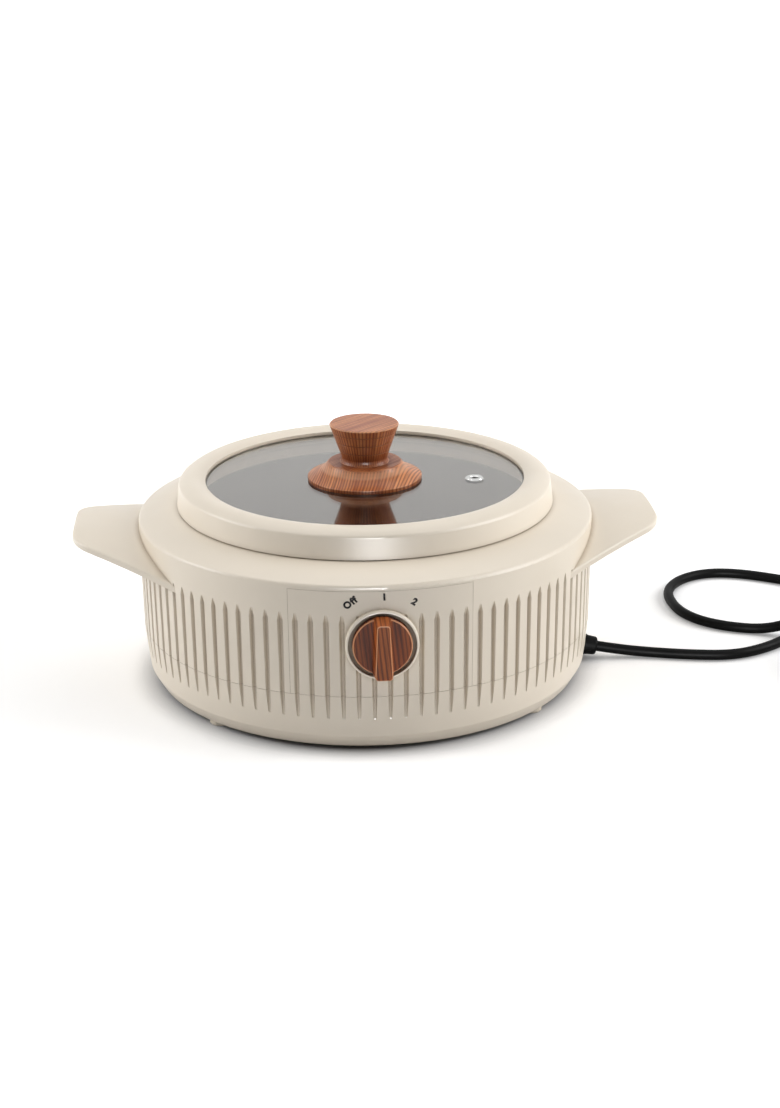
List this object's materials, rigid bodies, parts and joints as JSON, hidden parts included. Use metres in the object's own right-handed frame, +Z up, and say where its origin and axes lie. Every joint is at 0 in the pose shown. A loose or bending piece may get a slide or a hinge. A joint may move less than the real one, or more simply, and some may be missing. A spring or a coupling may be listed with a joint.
{
  "type": "electric casserole",
  "caption": "Round countertop casserole with ribbed wall, side ears, glass lid in a ring, wood-look knob, front dial, inner pan and coiled mains lead.",
  "frame": {"origin": "centre of the round body, on the surface that the feet stand on", "axes": "+Z up, -Y to the front with the dial, +X to the right ear as seen from the front"},
  "size_m": [0.5676, 0.3046, 0.163],
  "materials": {
    "casing_plastic": "cream moulded plastic, soft gloss",
    "foot_rubber": "cream rubber",
    "silicone": "pale grey silicone",
    "dial_wood_plastic": "dark brown wood look, satin",
    "knob_wood_plastic": "orange brown wood look, satin",
    "switch_metal": "plated steel",
    "switch_housing": "black moulding",
    "pan_coating": "aluminium with dark non-stick coating",
    "cast_plate": "cast aluminium",
    "element_sheath": "dull steel sheath",
    "shield_metal": "bright aluminium sheet",
    "screw_steel": "zinc plated",
    "thermostat_ceramic": "pale ceramic body",
    "fuse_metal": "brass can",
    "block_plastic": "pale moulding",
    "wire_sleeve": "glass fibre sleeve",
    "lid_glass": "clear tempered glass, faintly grey",
    "eyelet_metal": "plated",
    "insert_brass": "turned brass",
    "cord_rubber": "black PVC sheath",
    "tie_plastic": "black band",
    "plug_rubber": "black moulded PVC",
    "blade_brass": "bright brass"
  },
  "bodies": {
    "cooker": {"outer_casing": "casing_plastic", "control_panel": "casing_plastic", "base_shell": "casing_plastic", "feet": "foot_rubber", "pan_gasket": "silicone", "switch_nut": "switch_metal", "rotary_switch": "switch_housing", "inner_pan": "pan_coating", "element_plate": "cast_plate", "heating_element": "element_sheath", "heat_shield": "shield_metal", "element_nuts": "screw_steel", "base_screws": "screw_steel", "clamp_screws": "screw_steel", "thermostat": "thermostat_ceramic", "thermostat_clip": "screw_steel", "thermal_fuse": "fuse_metal", "terminal_block": "block_plastic", "lead_clamp": "block_plastic", "inner_lead": "cord_rubber", "switch_wires": "wire_sleeve", "heater_wires": "wire_sleeve", "strain_relief": "cord_rubber", "cord_lead": "cord_rubber", "cord_coil": "cord_rubber", "coil_tie": "tie_plastic", "plug_body": "plug_rubber", "plug_blades": "blade_brass"},
    "lid": {"lid_ring": "casing_plastic", "lid_glass": "lid_glass", "lid_seal": "silicone", "vent_eyelet": "eyelet_metal", "knob_skirt": "knob_wood_plastic", "lid_knob": "knob_wood_plastic", "knob_insert": "insert_brass", "knob_washer": "silicone", "knob_screw": "screw_steel"},
    "dial": {"dial_knob": "dial_wood_plastic", "switch_shaft": "switch_metal"}
  },
  "joints": [
    {"name": "lid_lift", "type": "slide", "parent": "cooker", "child": "lid", "axis": [0, 0, 1], "range_m": [0, 0.15]},
    {"name": "dial_turn", "type": "hinge", "parent": "cooker", "child": "dial", "pos_m": [0, -0.1456, 0.071], "axis": [0, 1, 0], "range_deg": [-40, 40]}
  ]
}
